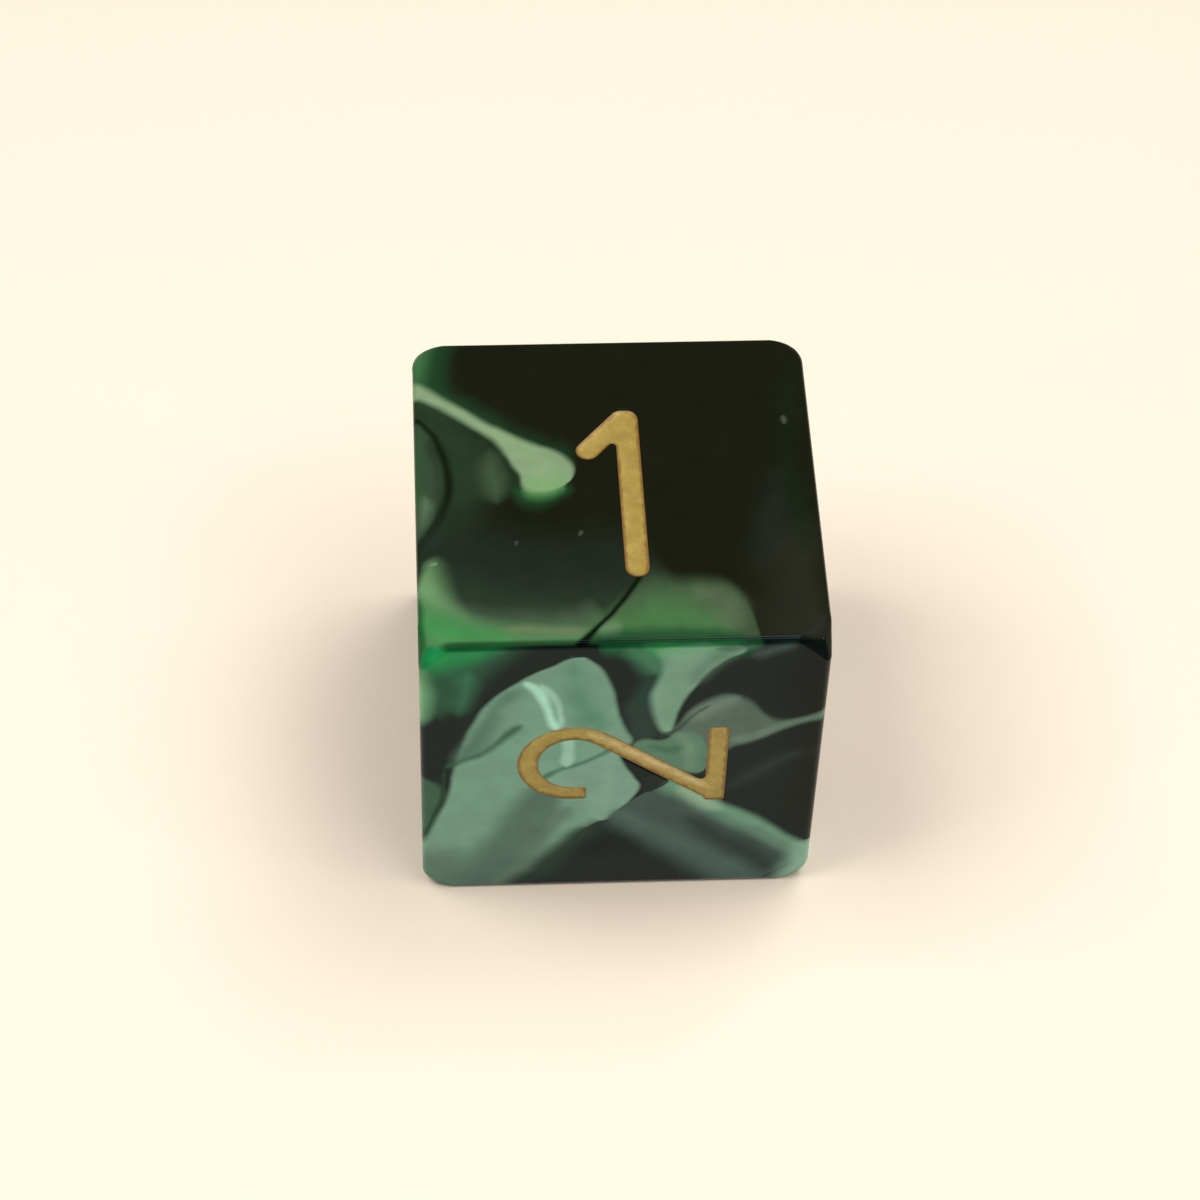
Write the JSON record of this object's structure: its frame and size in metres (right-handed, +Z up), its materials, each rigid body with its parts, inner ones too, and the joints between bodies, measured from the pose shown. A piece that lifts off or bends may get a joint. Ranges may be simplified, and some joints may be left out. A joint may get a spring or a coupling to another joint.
{
  "type": "numbered die",
  "caption": "Cube-shaped moulded resin die in swirled green and black, with a gold-filled numeral sunk into each face and rounded corners.",
  "frame": {"origin": "centre of the underside, the face with the 6, on which the die rests", "axes": "+Z up through the face with the 1; -Y out of the face with the 2; +X out of the face with the 3"},
  "size_m": [0.016, 0.016, 0.016],
  "materials": {
    "swirled_resin": "gloss",
    "gold_paint": "satin"
  },
  "bodies": {
    "root": {"resin_body": "swirled_resin", "numeral_1_paint": "gold_paint", "numeral_2_paint": "gold_paint", "numeral_3_paint": "gold_paint", "numeral_4_paint": "gold_paint", "numeral_5_paint": "gold_paint", "numeral_6_paint": "gold_paint"}
  },
  "joints": []
}
